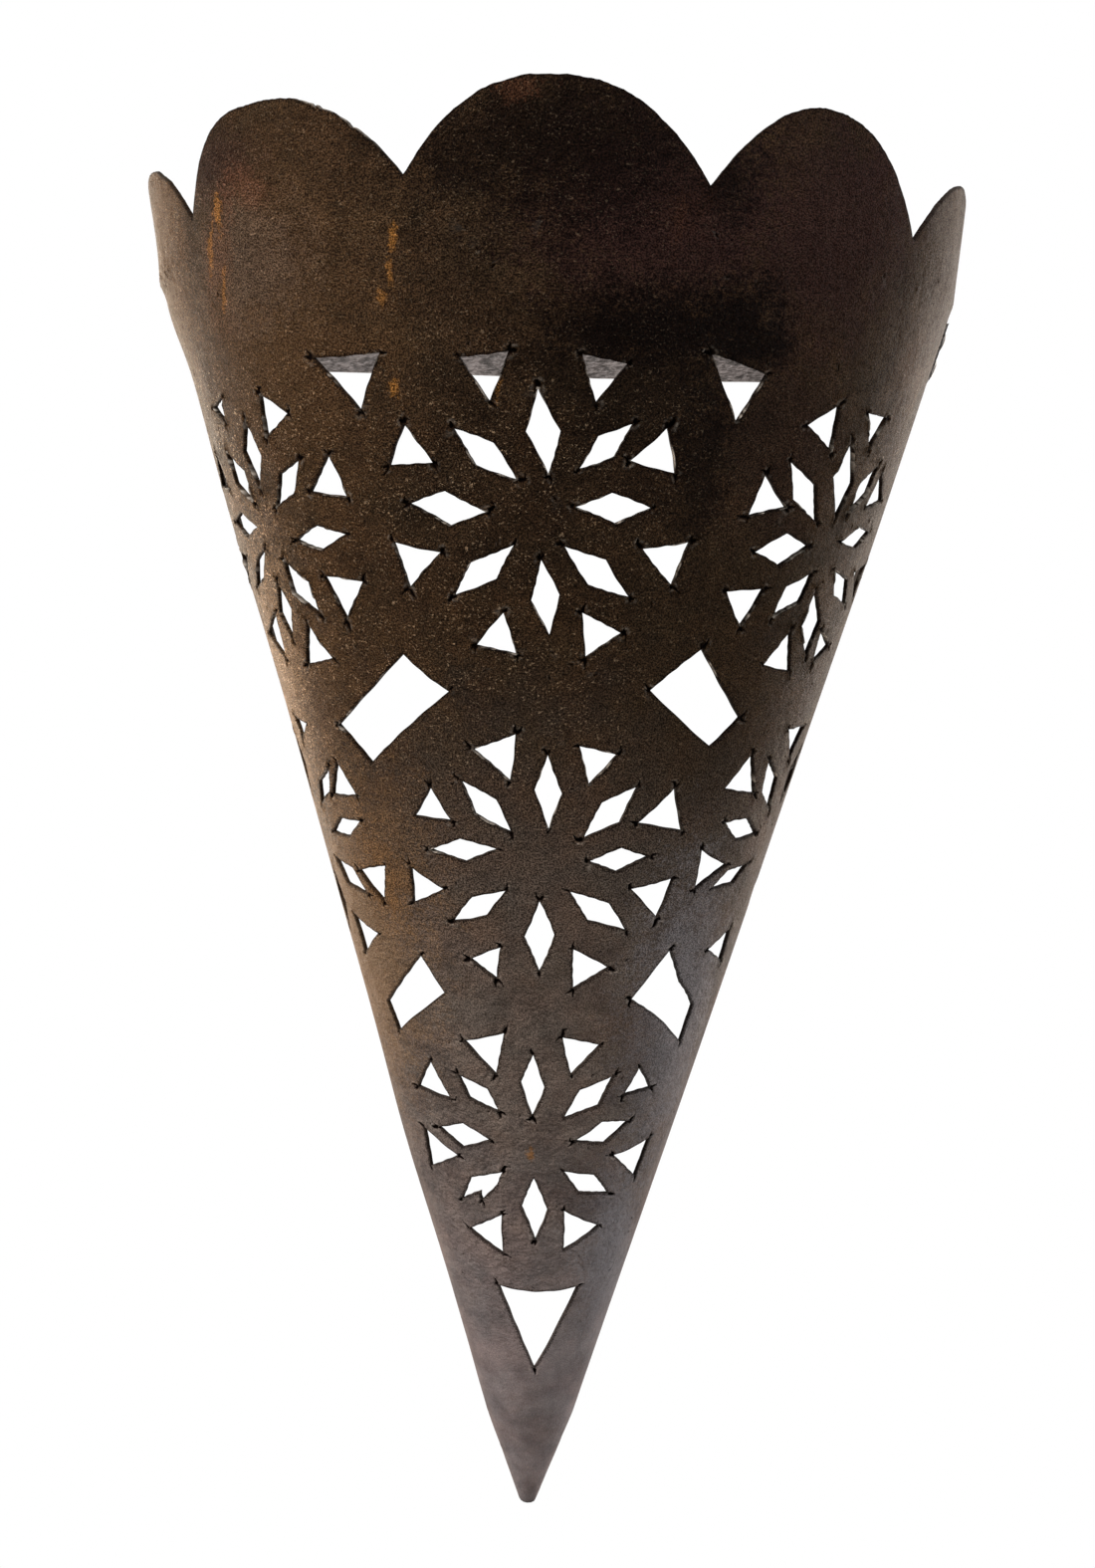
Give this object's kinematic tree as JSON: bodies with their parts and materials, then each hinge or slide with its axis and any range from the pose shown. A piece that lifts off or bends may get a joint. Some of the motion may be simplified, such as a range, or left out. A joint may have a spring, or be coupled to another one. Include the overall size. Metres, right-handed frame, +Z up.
{
  "type": "wall sconce",
  "caption": "Half-cone wall sconce of pierced sheet iron with a scalloped rim, hung by a flat strap riveted across its open back.",
  "frame": {"origin": "on the wall, midway between the two screw holes in the strap", "axes": "+Z up along the cone's axis, +Y into the wall, so the pierced front faces -Y; +X to the right seen from the front"},
  "size_m": [0.2662, 0.1365, 0.4625],
  "materials": {
    "shade_iron": "hand-cut sheet iron with a grainy brown-black patina, soot and rust",
    "strap_iron": "rough forged flat bar, grey-brown",
    "rivet_iron": "hammered dark iron"
  },
  "bodies": {
    "root": {"pierced_shade": "shade_iron", "back_strap": "strap_iron", "rivet_left_upper": "rivet_iron", "rivet_left_lower": "rivet_iron", "rivet_right_upper": "rivet_iron", "rivet_right_lower": "rivet_iron"}
  },
  "joints": []
}
